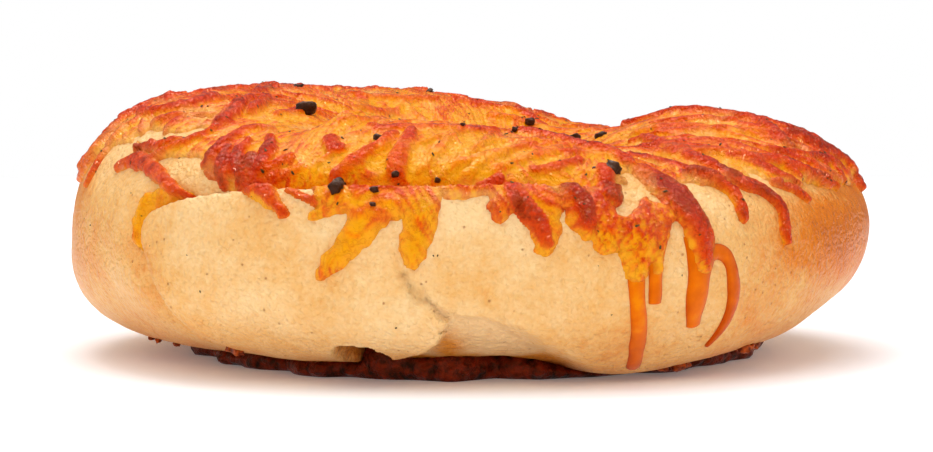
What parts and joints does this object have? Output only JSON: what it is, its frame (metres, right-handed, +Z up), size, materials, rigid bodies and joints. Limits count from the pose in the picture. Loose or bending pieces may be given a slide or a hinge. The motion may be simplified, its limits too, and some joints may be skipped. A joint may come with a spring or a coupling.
{
  "type": "bagel",
  "caption": "Baked bagel ring with a melted cheese topping that runs down its front, standing on a flat foot of burnt cheese.",
  "frame": {"origin": "on the ground, under the middle of the bagel's outer box", "axes": "+Z up through the hole, +X to the right along the widest extent, -Y to the front where the cheese has run down"},
  "size_m": [0.1152, 0.1126, 0.0399],
  "materials": {
    "bread_crust": "matte golden bread crust",
    "melted_cheese": "satin melted cheese, browned in patches",
    "burnt_cheese": "dark brown burnt cheese"
  },
  "bodies": {
    "root": {"bread": "bread_crust", "cheese": "melted_cheese", "cheese_base": "burnt_cheese"}
  },
  "joints": []
}
